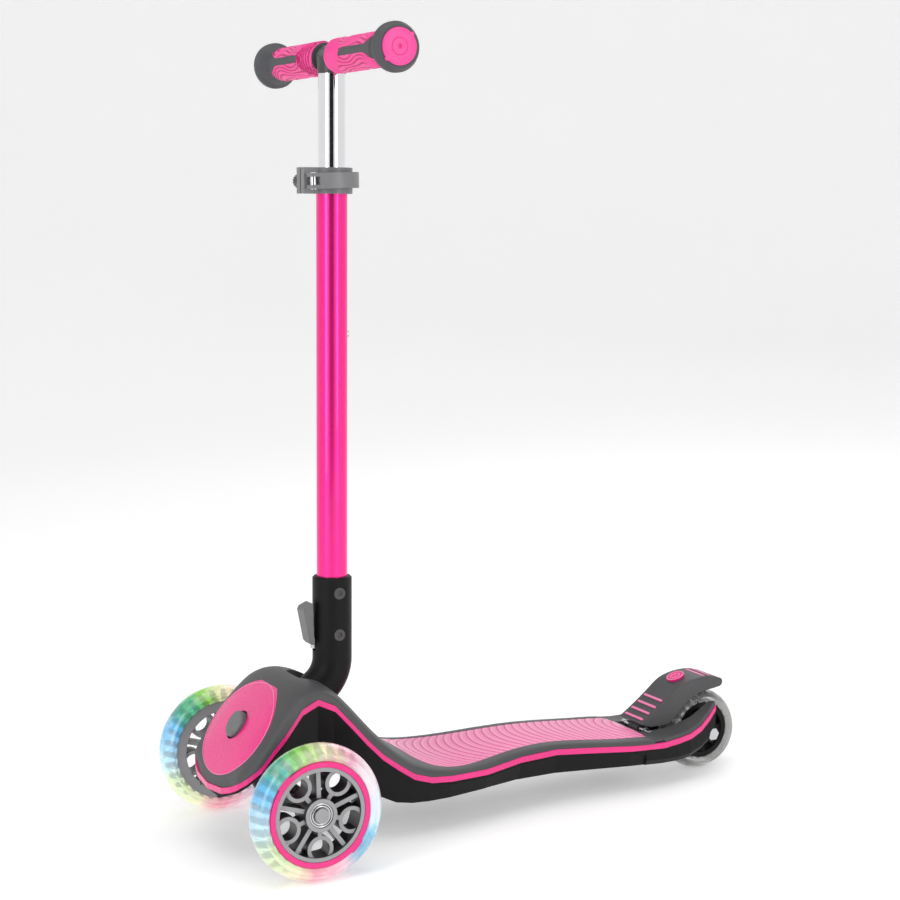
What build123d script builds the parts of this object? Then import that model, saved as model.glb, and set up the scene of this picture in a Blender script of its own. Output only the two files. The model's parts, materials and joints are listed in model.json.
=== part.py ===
from build123d import *
import os
from math import cos, radians, sin, tan

# A child's folding three-wheeled kick scooter that steers by leaning.
# Frame: X to the rider's left, Y to the rear, Z up, ground at Z = 0, millimetres.

os.makedirs("parts", exist_ok=True)

# ---------------------------------------------------------------- driving dimensions
wheel_r, wheel_width, track = 60.0, 27.0, 232.0
rear_wheel_r, rear_wheel_width = 40.0, 30.0
wheelbase, overall_length = 464.0, 564.0
front_axle_y = wheel_r - overall_length / 2
rear_axle_y = front_axle_y + wheelbase

axle_r, bearing_r, bearing_width = 4.0, 11.0, 7.0
running_gap = 0.06
body_gap = 0.3

rake = 1.74
column_foot_y = -158.0
outer_tube_r, outer_tube_wall = 14.0, 1.4
inner_tube_r, inner_tube_wall = 12.0, 1.5
outer_tube_bottom, outer_tube_top = 180.0, 590.0
inner_tube_bottom, inner_tube_top = 380.0, 686.0
bar_height, bar_r, bar_length = 700.0, 11.0, 262.0
grip_start, grip_end, grip_r, flare_r, cap_end = 13.0, 126.0, 15.5, 21.0, 140.0

neck_r, neck_top, neck_bend_z, neck_bend_r, neck_bend_angle = 17.9, 238.0, 163.0, 34.0, 50.0
neck_rim = 1.6
fold_y, fold_z, fold_pin_r, fold_boss_r, fold_boss_half = -178.0, 124.0, 5.0, 15.0, 17.0

steer_tilt = 30.0
steer_y, steer_z = front_axle_y, 64.0

trim_height, trim_depth = 5.5, 3.0
shell_thickness = 4.0
pad_thickness = 2.2

brake_half_width = 20.0
brake_pin_y, brake_pin_z, brake_pin_r = 172.0, 50.0, 2.5
arm_inner_x = 21.0
smallest_solid = 5000.0

# Stations along the hood and deck: y, half width, height of the shell's edge,
# height of its centre line and height of the chassis's lower edge.
stations = [
    (-276.0, 24.0, 64.0, 65.0, 57.5),
    (-269.0, 54.0, 75.0, 79.5, 66.0),
    (-262.0, 61.0, 81.0, 91.5, 70.0),
    (-250.0, 66.0, 91.0, 109.5, 79.0),
    (-239.0, 67.0, 104.0, 123.0, 84.0),
    (-227.0, 66.0, 115.5, 136.0, 84.0),
    (-209.0, 62.0, 135.0, 148.5, 84.0),
    (-192.0, 58.0, 140.8, 151.5, 84.0),
    (-177.0, 60.5, 133.5, 147.5, 82.0),
    (-163.0, 63.5, 117.0, 136.0, 72.0),
    (-149.0, 65.0, 100.0, 119.5, 56.0),
    (-135.0, 66.5, 85.0, 103.0, 44.0),
    (-121.0, 68.0, 74.0, 89.0, 37.0),
    (-105.0, 68.5, 62.7, 76.5, 34.0),
    (-88.0, 68.5, 57.0, 67.5, 33.0),
    (-68.0, 68.0, 55.0, 61.5, 33.0),
    (-28.0, 63.0, 54.0, 60.0, 34.0),
    (12.0, 54.0, 57.0, 62.5, 34.0),
    (52.0, 51.0, 57.6, 62.8, 33.0),
    (92.0, 53.5, 54.0, 59.5, 31.0),
    (132.0, 55.5, 50.0, 55.5, 28.5),
    (160.0, 54.0, 47.5, 52.5, 26.5),
]

# Stations along each rear fork arm: y, outer face x, lower edge, height of the trim's
# lower edge and top of the grey cover.
arm_stations = [
    (150.0, 54.0, 27.0, 42.5, 53.0),
    (172.0, 51.5, 25.0, 41.0, 51.0),
    (191.0, 48.5, 24.0, 42.0, 51.5),
    (207.0, 45.0, 24.5, 43.5, 54.0),
    (222.0, 40.5, 28.0, 48.0, 59.0),
    (234.0, 37.0, 34.0, 56.0, 66.0),
    (243.0, 34.5, 46.0, 65.0, 71.5),
]


# ---------------------------------------------------------------- helpers
def write(piece, name):
    """Label a finished piece and write it as its own STEP file."""
    piece.part.label = name
    export_step(piece.part, f"parts/{name}.step")


def without_offcuts(piece):
    """The piece's real solids, without the slivers that cuts leave behind."""
    return Compound([solid for solid in piece.part.solids() if solid.volume > smallest_solid])


def cross_plane(y):
    """The plane across the scooter at y, with local x = X and local y = Z."""
    return Plane.XZ.offset(-y)


def polygon_across(y, points):
    """A closed polygon drawn across the scooter at y."""
    with BuildSketch(cross_plane(y)) as section:
        with BuildLine():
            Polyline(*points, close=True)
        make_face()
    return section.sketch


def crowned_across(y, half_width, edge_z, centre_z, drop):
    """A crowned section at y, with a flat underside lower than its edges by drop."""
    rise = centre_z - edge_z
    shares = (1.0, 0.96, 0.8, 0.5)
    right = [(half_width * s, edge_z + rise * (1 - s ** 3) ** (1 / 3)) for s in shares]
    left = [(-x, z) for x, z in reversed(right)]
    with BuildSketch(cross_plane(y)) as section:
        with BuildLine():
            Spline(*right, (0, centre_z), *left)
            Polyline(
                left[-1],
                (-half_width, edge_z - drop),
                (half_width, edge_z - drop),
                right[0],
            )
        make_face()
    return section.sketch


def column_plane(distance):
    """The plane square to the steering column, this far along it from the ground."""
    tilt = radians(rake)
    foot = Plane(origin=(0, column_foot_y, 0), x_dir=(1, 0, 0), z_dir=(0, sin(tilt), cos(tilt)))
    return foot.offset(distance)


def column_y(z):
    """The column's axis position at height z."""
    return column_foot_y + z * tan(radians(rake))


def steer_plane(distance):
    """The plane square to the inclined steering axis, this far up it."""
    tilt = radians(steer_tilt)
    pivot = Plane(
        origin=(0, steer_y, steer_z), x_dir=(1, 0, 0), z_dir=(0, -sin(tilt), cos(tilt))
    )
    return pivot.offset(distance)


def wheel_plane(x, y, z):
    """A plane whose local x runs along the axle and local y along a radius."""
    return Plane(origin=(x, y, z), x_dir=(1, 0, 0), z_dir=(0, 0, 1))


# ---------------------------------------------------------------- hood and deck solids
with BuildPart() as skin:
    loft(
        [
            crowned_across(y, w, edge, top, trim_height - 0.1)
            for y, w, edge, top, low in stations
        ]
    )

hood_stations = [s for s in stations if -270 < s[0] < -110]
with BuildPart() as hood_cavity:
    loft(
        [
            crowned_across(y, w - 6, edge - 8, top - shell_thickness - 1.5, 3)
            for y, w, edge, top, low in hood_stations
        ],
        ruled=True,
    )

# The slot in the hood's rear face that the neck folds back into.
slot_half_width, slot_front_y, slot_rear_y, slot_floor_z = 20.5, -193.0, -109.0, 77.0
with BuildPart() as neck_slot:
    with BuildSketch(Plane.XY.offset(slot_floor_z)):
        with Locations((0, (slot_front_y + slot_rear_y) / 2)):
            RectangleRounded(2 * slot_half_width, slot_rear_y - slot_front_y, 9)
    extrude(amount=90)

# The standing surface in plan.
pad_front_y, pad_rear_y = -92.0, 158.0
with BuildPart() as pad_prism:
    with BuildSketch(Plane.XY.offset(20)):
        with BuildLine():
            right_side = Spline(
                (20.0, pad_front_y),
                (46.0, -84.0),
                (54.0, -64.0),
                (49.0, -28.0),
                (40.0, 12.0),
                (37.0, 52.0),
                (39.5, 92.0),
                (41.5, 132.0),
                (40.0, pad_rear_y),
            )
            mirror(right_side, about=Plane.YZ)
            Line((20.0, pad_front_y), (-20.0, pad_front_y))
            Line((40.0, pad_rear_y), (-40.0, pad_rear_y))
        make_face()
    extrude(amount=60)

# ---------------------------------------------------------------- deck pad
with BuildPart() as deck_pad:
    add(skin.part)
    add(pad_prism.part, mode=Mode.INTERSECT)
    add(skin.part.moved(Location((0, 0, -pad_thickness))), mode=Mode.SUBTRACT)
write(deck_pad, "deck_pad")

# ---------------------------------------------------------------- nose panel and lock button seat
nose_y, nose_z, nose_slope = -247.4, 112.7, 32.0
nose_normal = (0, -cos(radians(nose_slope)), sin(radians(nose_slope)))
lock_plane = Plane(origin=(0, nose_y, nose_z), x_dir=(1, 0, 0), z_dir=nose_normal)
lock_button_r, lock_seat_r = 12.5, 14.0

with BuildPart() as nose_panel:
    add(skin.part)
    with BuildSketch(Plane.XZ.offset(215)):
        with Locations((0, 110)):
            Ellipse(55.5, 37.5)
    extrude(amount=70, mode=Mode.INTERSECT)
    inward = Vector(nose_normal) * -2.0
    add(skin.part.moved(Location(inward)), mode=Mode.SUBTRACT)
    with BuildSketch(lock_plane.offset(-10)):
        Circle(lock_seat_r)
    extrude(amount=20, mode=Mode.SUBTRACT)
write(nose_panel, "nose_panel")

# ---------------------------------------------------------------- edge trim
nose_line = [
    (-54.0, -269.0, 69.5),
    (-44.0, -272.5, 65.0),
    (-30.0, -275.5, 61.0),
    (0.0, -277.5, 58.5),
    (30.0, -275.5, 61.0),
    (44.0, -272.5, 65.0),
    (54.0, -269.0, 69.5),
]


def trim_bands(clearance, overhang):
    """The trim along both sides and round the nose; clearance and overhang make it the
    room that the trim needs in the parts behind it."""
    with BuildPart() as bands:
        for side in (1, -1):
            edges = [(y, w, edge - trim_height) for y, w, edge, top, low in stations[1:-1]]
            edges += [(y, x, trim) for y, x, low, trim, top in arm_stations[1:]]
            sections = [
                polygon_across(
                    y,
                    [
                        (side * (x + overhang), z - clearance),
                        (side * (x + overhang), z + trim_height + clearance),
                        (side * (x - trim_depth - clearance), z + trim_height + clearance),
                        (side * (x - trim_depth - clearance), z - clearance),
                    ],
                )
                for y, x, z in edges
            ]
            loft(sections, ruled=True)
        nose_sections = []
        for x, y, z in nose_line:
            depth = trim_depth + clearance + overhang
            with BuildSketch(Plane.YZ.offset(x)) as section:
                with Locations((y - overhang + depth / 2, z + trim_height / 2)):
                    Rectangle(depth, trim_height + 2 * clearance)
            nose_sections.append(section.sketch)
        loft(nose_sections, ruled=True)
    return bands.part


trim_room = trim_bands(0.12, 3.0)
with BuildPart() as edge_trim:
    add(trim_bands(0.0, 0.0))
write(edge_trim, "edge_trim")

# ---------------------------------------------------------------- chassis
wall = 4.5
plate_z, plate_thickness = 84.0, 6.0
pedestal_top_z = 100.0
bend_way_y, bend_way_half = -179.5, 18.7
tray_ceiling_z, underside_z = 44.0, 34.3
screw_seats = [
    (side * x, y, z)
    for x, y, z in ((30, -97, 36.0), (43, -13, 36.5), (41, 103, 33.0))
    for side in (1, -1)
]

with BuildPart() as chassis:
    loft(
        [
            polygon_across(
                y,
                [
                    (w - 1.5, edge - trim_height),
                    (w - 1.5, edge - trim_height - 3),
                    (w - 6.5, low),
                    (6.5 - w, low),
                    (1.5 - w, edge - trim_height - 3),
                    (1.5 - w, edge - trim_height),
                ],
            )
            for y, w, edge, top, low in stations
        ],
        ruled=True,
    )
    hollow_stations = [s for s in stations if -265 < s[0] < -130]
    for floor_z, roof_z in ((plate_z + plate_thickness, 190.0), (-10.0, plate_z)):
        loft(
            [
                polygon_across(
                    y,
                    [
                        (w - 1.5 - wall, floor_z),
                        (w - 1.5 - wall, roof_z),
                        (1.5 + wall - w, roof_z),
                        (1.5 + wall - w, floor_z),
                    ],
                )
                for y, w, edge, top, low in hollow_stations
            ],
            ruled=True,
            mode=Mode.SUBTRACT,
        )
    # The pedestal of the fold bracket and the boss that holds the kingpin.
    with Locations((0, -178, (plate_z + pedestal_top_z) / 2)):
        Box(48, 36, pedestal_top_z - plate_z)
    with BuildSketch(steer_plane(13.6)):
        Circle(13)
    extrude(amount=17.4)
    with BuildSketch(steer_plane(0)):
        Circle(axle_r + 0.02)
    extrude(amount=40, mode=Mode.SUBTRACT)
    # Tray pockets under the deck, left open downwards between the ribs.
    with Locations((0, 42, 20)):
        with GridLocations(37, 38, 2, 5):
            Box(32, 33, 2 * (tray_ceiling_z - 20), mode=Mode.SUBTRACT)
    with Locations((0, -8, underside_z - 2)):
        Box(120, 38, 4, mode=Mode.SUBTRACT)
    for x, y, seat_z in screw_seats:
        with BuildSketch(Plane.XY.offset(seat_z)):
            with Locations((x, y)):
                Circle(4)
        extrude(amount=-20, mode=Mode.SUBTRACT)
    # The opening ahead of the rear wheel and the notch for the brake's foot.
    with Locations((0, 186, 45)):
        Box(2 * arm_inner_x, 60, 80, mode=Mode.SUBTRACT)
    for side in (1, -1):
        loft(
            [
                polygon_across(
                    y,
                    [
                        (side * arm_inner_x, low),
                        (side * (x - 5.0), low),
                        (side * (x - 1.0), low + 5),
                        (side * (x - 1.0), trim),
                        (side * arm_inner_x, trim + trim_height),
                    ],
                )
                for y, x, low, trim, top in arm_stations
            ],
            ruled=True,
        )
        with BuildSketch(Plane.YZ.offset(side * 17.5)):
            with Locations((rear_axle_y, rear_wheel_r)):
                Circle(9)
        extrude(amount=side * 10)
        with BuildSketch(Plane.YZ.offset(side * 17)):
            with Locations((rear_axle_y, rear_wheel_r)):
                Circle(axle_r + 0.02)
        extrude(amount=side * 30, mode=Mode.SUBTRACT)
    with BuildSketch(Plane.YZ.offset(-27)):
        with Locations((brake_pin_y, brake_pin_z)):
            Circle(brake_pin_r + 0.02)
    extrude(amount=54, mode=Mode.SUBTRACT)
    with BuildSketch(steer_plane(31)):
        Circle(9.5)
    extrude(amount=12, mode=Mode.SUBTRACT)
    for side in (1, -1):
        with BuildSketch(Plane.YZ.offset(side * 27.4)):
            with Locations((rear_axle_y, rear_wheel_r)):
                Circle(7)
        extrude(amount=side * 12, mode=Mode.SUBTRACT)
    add(trim_room, mode=Mode.SUBTRACT)
    # The way for the neck's bend, behind the pedestal and down into its rear half.
    with Locations((0, (slot_rear_y - 158) / 2, 104)):
        Box(2 * slot_half_width, slot_rear_y + 158, 54, mode=Mode.SUBTRACT)
    with Locations((0, (bend_way_y - 158) / 2, 104)):
        Box(2 * bend_way_half, -158 - bend_way_y + 1, 29, mode=Mode.SUBTRACT)
    chassis_solids = without_offcuts(chassis)
chassis.part = chassis_solids
write(chassis, "chassis")

# ---------------------------------------------------------------- deck shell
with BuildPart() as deck_shell:
    add(skin.part)
    add(trim_room, mode=Mode.SUBTRACT)
    for side in (1, -1):
        loft(
            [
                polygon_across(
                    y,
                    [
                        (side * (arm_inner_x + 0.3), trim + trim_height),
                        (side * (x - 1.0), trim + trim_height),
                        (side * (x - 3.0), trim + trim_height + 3.5),
                        (side * (arm_inner_x + 0.3), top),
                    ],
                )
                for y, x, low, trim, top in arm_stations
            ],
            ruled=True,
        )
        with Locations((side * 50.75, 161, 47.45)):
            Box(5.2, 24, 2.1, mode=Mode.SUBTRACT)
    add(hood_cavity.part, mode=Mode.SUBTRACT)
    add(chassis.part, mode=Mode.SUBTRACT)
    add(neck_slot.part, mode=Mode.SUBTRACT)
    add(deck_pad.part, mode=Mode.SUBTRACT)
    add(nose_panel.part, mode=Mode.SUBTRACT)
    with BuildSketch(lock_plane.offset(-14)):
        Circle(lock_seat_r)
    extrude(amount=24, mode=Mode.SUBTRACT)
    with BuildSketch(Plane.YZ.offset(-27)):
        with Locations((brake_pin_y, brake_pin_z)):
            Circle(brake_pin_r + 0.02)
    extrude(amount=54, mode=Mode.SUBTRACT)
    shell_solids = without_offcuts(deck_shell)
deck_shell.part = shell_solids
write(deck_shell, "deck_shell")

# ---------------------------------------------------------------- fold bracket, pin and latch plate
cheek_gap, cheek_thickness = 18.4, 3.2
with BuildPart() as fold_bracket:
    with Locations((0, fold_y, pedestal_top_z + 1.6)):
        Box(2 * (cheek_gap + cheek_thickness), 34, 3)
    with Locations((0, bend_way_y + 15, pedestal_top_z + 1.6)):
        Box(2 * bend_way_half, 30, 4, mode=Mode.SUBTRACT)
    for side in (1, -1):
        with BuildSketch(Plane.YZ.offset(side * cheek_gap)):
            with Locations((fold_y, fold_z)):
                Circle(12.5)
            with Locations((fold_y, (pedestal_top_z + fold_z) / 2)):
                Rectangle(25, fold_z - pedestal_top_z - 0.2)
            with Locations((fold_y, fold_z)):
                Circle(fold_pin_r + 0.02, mode=Mode.SUBTRACT)
        extrude(amount=side * cheek_thickness)
write(fold_bracket, "fold_bracket")

with BuildPart() as fold_pin:
    with BuildSketch(Plane.YZ.offset(-cheek_gap - cheek_thickness - 1.5)):
        with Locations((fold_y, fold_z)):
            Circle(fold_pin_r)
    extrude(amount=2 * (cheek_gap + cheek_thickness + 1.5))
    for side in (1, -1):
        with BuildSketch(Plane.YZ.offset(side * (cheek_gap + cheek_thickness + 0.1))):
            with Locations((fold_y, fold_z)):
                Circle(fold_pin_r + 3)
        extrude(amount=side * 2)
write(fold_pin, "fold_pin")

latch_plate_r, latch_plate_half = 13.0, 2.5
notch_angle = 40.0
with BuildPart() as latch_plate:
    with BuildSketch(Plane.YZ.offset(-latch_plate_half)):
        with Locations((fold_y, fold_z)):
            Circle(latch_plate_r)
            Circle(fold_pin_r + 0.02, mode=Mode.SUBTRACT)
            with PolarLocations(latch_plate_r, 2, start_angle=notch_angle, angular_range=-160):
                Rectangle(4, 5, mode=Mode.SUBTRACT)
    extrude(amount=2 * latch_plate_half)
write(latch_plate, "latch_plate")

# ---------------------------------------------------------------- kingpin, nut and bushes
with BuildPart() as kingpin:
    with BuildSketch(steer_plane(-22)):
        RegularPolygon(7.5, 6)
    extrude(amount=6.2)
    with BuildSketch(steer_plane(-15.8)):
        Circle(9)
    extrude(amount=1.2)
    with BuildSketch(steer_plane(-14.6)):
        Circle(axle_r)
    extrude(amount=53)
write(kingpin, "kingpin")

with BuildPart() as kingpin_nut:
    with BuildSketch(steer_plane(31.1)):
        RegularPolygon(7.5, 6)
        Circle(axle_r + 0.02, mode=Mode.SUBTRACT)
    extrude(amount=6)
write(kingpin_nut, "kingpin_nut")

bush_bore_r, bush_outer_r = axle_r + running_gap, 7.0
with BuildPart() as kingpin_bushes:
    for start, direction in ((-14.3, 1), (13.3, -1)):
        with BuildSketch(steer_plane(start)):
            Circle(10)
            Circle(bush_bore_r, mode=Mode.SUBTRACT)
        extrude(amount=direction * 1.3)
        with BuildSketch(steer_plane(start + direction * 1.3)):
            Circle(bush_outer_r)
            Circle(bush_bore_r, mode=Mode.SUBTRACT)
        extrude(amount=direction * 10)
write(kingpin_bushes, "kingpin_bushes")

# ---------------------------------------------------------------- axle beam
beam_end_x = track / 2 - wheel_width / 2 - 1.0
with BuildPart() as axle_beam:
    with BuildSketch(Plane.YZ.offset(-beam_end_x)):
        with Locations((steer_y, wheel_r)):
            Circle(8)
    extrude(amount=2 * beam_end_x)
    for side in (1, -1):
        with BuildSketch(Plane.YZ.offset(side * 8)):
            with Locations((steer_y, wheel_r)):
                RectangleRounded(20, 18, 5)
        with BuildSketch(Plane.YZ.offset(side * 88)):
            with Locations((steer_y, wheel_r)):
                RectangleRounded(17, 17, 5)
        loft()
    with BuildSketch(Plane.YZ.offset(-beam_end_x - 1.2)):
        with Locations((steer_y, wheel_r)):
            Circle(6)
    extrude(amount=2 * (beam_end_x + 1.2))
    with BuildSketch(steer_plane(-13)):
        Circle(15)
    extrude(amount=25)
    with BuildSketch(steer_plane(-14)):
        Circle(bush_outer_r + 0.02)
    extrude(amount=28, mode=Mode.SUBTRACT)
    for shoulder, direction in ((12, 1), (-13, -1)):
        with BuildSketch(steer_plane(shoulder)):
            Circle(11)
        extrude(amount=direction * 14, mode=Mode.SUBTRACT)
    for side in (1, -1):
        with BuildSketch(Plane.YZ.offset(side * 60)):
            with Locations((steer_y, wheel_r)):
                Circle(axle_r + 0.02)
        extrude(amount=side * 60, mode=Mode.SUBTRACT)
write(axle_beam, "axle_beam")

# ---------------------------------------------------------------- steering bumpers
bumper_x, bumper_r = 42.0, 7.0
bumper_bottom_z, bumper_top_z = wheel_r + 9.4, plate_z - 0.1
with BuildPart() as steering_bumpers:
    bumper_middle_z = (bumper_bottom_z + bumper_top_z) / 2
    for side in (1, -1):
        with BuildSketch(Plane(origin=(side * bumper_x, steer_y, 0), z_dir=(0, -1, 0), x_dir=(1, 0, 0))):
            with BuildLine():
                Polyline(
                    (bumper_r, bumper_top_z),
                    (0, bumper_top_z),
                    (0, bumper_bottom_z),
                    (bumper_r, bumper_bottom_z),
                )
                ThreePointArc(
                    (bumper_r, bumper_bottom_z),
                    (bumper_r - 1.5, bumper_middle_z),
                    (bumper_r, bumper_top_z),
                )
            make_face()
        revolve(axis=Axis((side * bumper_x, steer_y, 0), (0, 0, 1)))
write(steering_bumpers, "steering_bumpers")

# ---------------------------------------------------------------- front axles
with BuildPart() as front_axles:
    for side in (1, -1):
        with BuildSketch(Plane.YZ.offset(side * 60)):
            with Locations((steer_y, wheel_r)):
                Circle(axle_r)
        extrude(amount=side * (track / 2 + 12.3 - 60))
write(front_axles, "front_axles")

with BuildPart() as axle_caps:
    for side in (1, -1):
        with BuildSketch(Plane.YZ.offset(side * (track / 2 + 12.4))):
            with Locations((steer_y, wheel_r)):
                Circle(6.4)
        extrude(amount=side * 2)
write(axle_caps, "axle_caps")

with BuildPart() as magnet_cores:
    for side in (1, -1):
        with BuildSketch(Plane.YZ.offset(side * (track / 2 - 5.5))):
            with Locations((steer_y, wheel_r)):
                Circle(9)
                Circle(axle_r + 0.01, mode=Mode.SUBTRACT)
        extrude(amount=side * 10)
write(magnet_cores, "magnet_cores")

# ---------------------------------------------------------------- front wheels
half_width = wheel_width / 2
rim_edge_r, rim_half, ring_inner_r, ring_outer_r, rim_inner_r = 46.5, 10.7, 41.3, 46.2, 37.5
for side, label in ((1, "left"), (-1, "right")):
    hub_x = side * track / 2
    hub_plane = wheel_plane(hub_x, steer_y, wheel_r)
    hub_axis = Axis((hub_x, steer_y, wheel_r), (1, 0, 0))

    with BuildPart() as tyre:
        with BuildSketch(hub_plane):
            with BuildLine():
                Polyline(
                    (half_width, 53),
                    (half_width, 49.5),
                    (half_width - 2.8, rim_edge_r + 0.1),
                    (2.8 - half_width, rim_edge_r + 0.1),
                    (-half_width, 49.5),
                    (-half_width, 53),
                )
                ThreePointArc((-half_width, 53), (0, wheel_r), (half_width, 53))
            make_face()
        revolve(axis=hub_axis)
    write(tyre, f"{label}_tyre")

    with BuildPart() as rim:
        with BuildSketch(hub_plane):
            with Locations((0, (rim_inner_r + rim_edge_r) / 2)):
                Rectangle(2 * rim_half, rim_edge_r - rim_inner_r)
            with Locations((side * (rim_half - 1), (ring_inner_r + rim_edge_r) / 2)):
                Rectangle(2.2, rim_edge_r - ring_inner_r + 0.2, mode=Mode.SUBTRACT)
            with Locations((0, rim_edge_r - 1)):
                Rectangle(7, 2.4, mode=Mode.SUBTRACT)
        revolve(axis=hub_axis)
        with BuildSketch(Plane.YZ.offset(hub_x)):
            with Locations((steer_y, wheel_r)):
                Circle(14.5)
                with PolarLocations(26.5, 5, start_angle=90):
                    Rectangle(26, 4)
                with PolarLocations(17, 5, start_angle=54):
                    Rectangle(9, 4)
                with PolarLocations(31, 5, start_angle=54):
                    Circle(12)
                    Circle(8.5, mode=Mode.SUBTRACT)
                Circle(bearing_r + 0.02, mode=Mode.SUBTRACT)
        extrude(amount=8, both=True)
        with BuildSketch(Plane.YZ.offset(hub_x)):
            with Locations((steer_y, wheel_r)):
                Circle(14.5)
                Circle(bearing_r + 0.02, mode=Mode.SUBTRACT)
        extrude(amount=12.6, both=True)
    write(rim, f"{label}_rim")

    with BuildPart() as ring:
        with BuildSketch(Plane.YZ.offset(hub_x + side * (rim_half - 2))):
            with Locations((steer_y, wheel_r)):
                Circle(ring_outer_r)
                Circle(ring_inner_r + 0.1, mode=Mode.SUBTRACT)
        extrude(amount=side * 2)
    write(ring, f"{label}_wheel_ring")

    with BuildPart() as light_board:
        with BuildSketch(hub_plane):
            with Locations((0, rim_edge_r - 1)):
                Rectangle(6, 1.8)
        revolve(axis=hub_axis)
    write(light_board, f"{label}_light_board")

    with BuildPart() as bearings:
        for start in (-13.0, 5.0):
            with BuildSketch(Plane.YZ.offset(hub_x + side * start)):
                with Locations((steer_y, wheel_r)):
                    Circle(bearing_r)
                    Circle(axle_r + running_gap, mode=Mode.SUBTRACT)
            extrude(amount=side * bearing_width)
    write(bearings, f"{label}_bearings")

# ---------------------------------------------------------------- rear wheel
rear_half = rear_wheel_width / 2
rear_plane = wheel_plane(0, rear_axle_y, rear_wheel_r)
rear_axis = Axis((0, rear_axle_y, rear_wheel_r), (1, 0, 0))

with BuildPart() as rear_tyre:
    with BuildSketch(rear_plane):
        with BuildLine():
            Polyline(
                (rear_half, 34),
                (rear_half, 31),
                (rear_half - 3, 28.1),
                (3 - rear_half, 28.1),
                (-rear_half, 31),
                (-rear_half, 34),
            )
            ThreePointArc((-rear_half, 34), (0, rear_wheel_r), (rear_half, 34))
        make_face()
    revolve(axis=rear_axis)
write(rear_tyre, "rear_tyre")

with BuildPart() as rear_rim:
    with BuildSketch(rear_plane):
        with Locations((0, 25.5)):
            Rectangle(22, 5)
        with Locations((0, 12.8)):
            Rectangle(25, 3.5)
    revolve(axis=rear_axis)
    with BuildSketch(Plane.YZ):
        with Locations((rear_axle_y, rear_wheel_r)):
            with PolarLocations(18.5, 8):
                Rectangle(12, 4)
    extrude(amount=9, both=True)
write(rear_rim, "rear_rim")

with BuildPart() as rear_bearings:
    for side in (1, -1):
        with BuildSketch(Plane.YZ.offset(side * 5.5)):
            with Locations((rear_axle_y, rear_wheel_r)):
                Circle(bearing_r)
                Circle(axle_r + running_gap, mode=Mode.SUBTRACT)
        extrude(amount=side * bearing_width)
write(rear_bearings, "rear_bearings")

with BuildPart() as rear_axle:
    with BuildSketch(Plane.YZ.offset(-28)):
        with Locations((rear_axle_y, rear_wheel_r)):
            Circle(axle_r)
    extrude(amount=56)
    for side in (1, -1):
        with BuildSketch(Plane.YZ.offset(side * 27.6)):
            with Locations((rear_axle_y, rear_wheel_r)):
                RegularPolygon(6.5, 6)
        extrude(amount=side * 4)
write(rear_axle, "rear_axle")

with BuildPart() as rear_spacers:
    for side in (1, -1):
        with BuildSketch(Plane.YZ.offset(side * 12.8)):
            with Locations((rear_axle_y, rear_wheel_r)):
                Circle(6.2)
                Circle(axle_r + 0.01, mode=Mode.SUBTRACT)
        extrude(amount=side * 4.6)
write(rear_spacers, "rear_spacers")

# ---------------------------------------------------------------- brake
brake_top = [
    (165.0, 58.0),
    (180.0, 68.0),
    (198.0, 81.5),
    (211.0, 91.0),
    (226.0, 95.5),
    (246.0, 96.0),
    (259.0, 92.5),
]
brake_underside = [
    (257.0, 84.5),
    (246.0, 83.0),
    (234.0, 81.0),
    (222.0, 75.5),
    (210.0, 65.5),
    (201.0, 56.5),
]
brake_clearance = 3.5
with BuildPart() as brake_fender:
    with BuildSketch(Plane.YZ.offset(-brake_half_width)):
        with BuildLine():
            Spline(*brake_top)
            ThreePointArc(brake_top[-1], (260.5, 88.0), brake_underside[0])
            Spline(*brake_underside)
            Polyline(brake_underside[-1], (194.0, 54.0), (176.0, 54.0), brake_top[0])
        make_face()
    extrude(amount=2 * brake_half_width)
    with BuildSketch(Plane.YZ.offset(-rear_half - 1.5)):
        with Locations((rear_axle_y, rear_wheel_r)):
            Circle(rear_wheel_r + brake_clearance)
    extrude(amount=2 * (rear_half + 1.5), mode=Mode.SUBTRACT)
    with BuildSketch(Plane.YZ.offset(-8)):
        with Locations((brake_pin_y, brake_pin_z)):
            Circle(5)
        with Locations((brake_pin_y + 3, brake_pin_z + 4)):
            Rectangle(9, 8)
    extrude(amount=16)
    with BuildSketch(Plane.YZ.offset(-9)):
        with Locations((brake_pin_y, brake_pin_z)):
            Circle(brake_pin_r + running_gap)
    extrude(amount=18, mode=Mode.SUBTRACT)
write(brake_fender, "brake_fender")

rib_centres = [(169.5, 61.0, 33.0), (177.0, 66.0, 34.0), (184.5, 71.2, 36.5), (192.0, 76.8, 36.5)]
crest_centres = [(234.5, 95.3, 3.0), (241.0, 95.6, 3.0), (247.5, 95.5, -8.0)]
with BuildPart() as brake_ribs:
    for y, z, slope in rib_centres + crest_centres:
        tilt = radians(slope)
        rib_plane = Plane(origin=(0, y, z), x_dir=(1, 0, 0), z_dir=(0, -sin(tilt), cos(tilt)))
        with BuildSketch(rib_plane):
            RectangleRounded(2 * brake_half_width - 8, 2.4, 1.1)
        extrude(amount=1.0)
    add(brake_fender.part, mode=Mode.SUBTRACT)
write(brake_ribs, "brake_ribs")

badge_tilt = radians(20)
badge_plane = Plane(
    origin=(0, 218.5, 94.1), x_dir=(1, 0, 0), z_dir=(0, -sin(badge_tilt), cos(badge_tilt))
)
with BuildPart() as brake_badge:
    with BuildSketch(badge_plane.offset(0.2)):
        Circle(9)
    extrude(amount=2)
    add(brake_fender.part, mode=Mode.SUBTRACT)
write(brake_badge, "brake_badge")

with BuildPart() as brake_pin:
    with BuildSketch(Plane.YZ.offset(-26)):
        with Locations((brake_pin_y, brake_pin_z)):
            Circle(brake_pin_r)
    extrude(amount=52)
write(brake_pin, "brake_pin")

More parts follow.
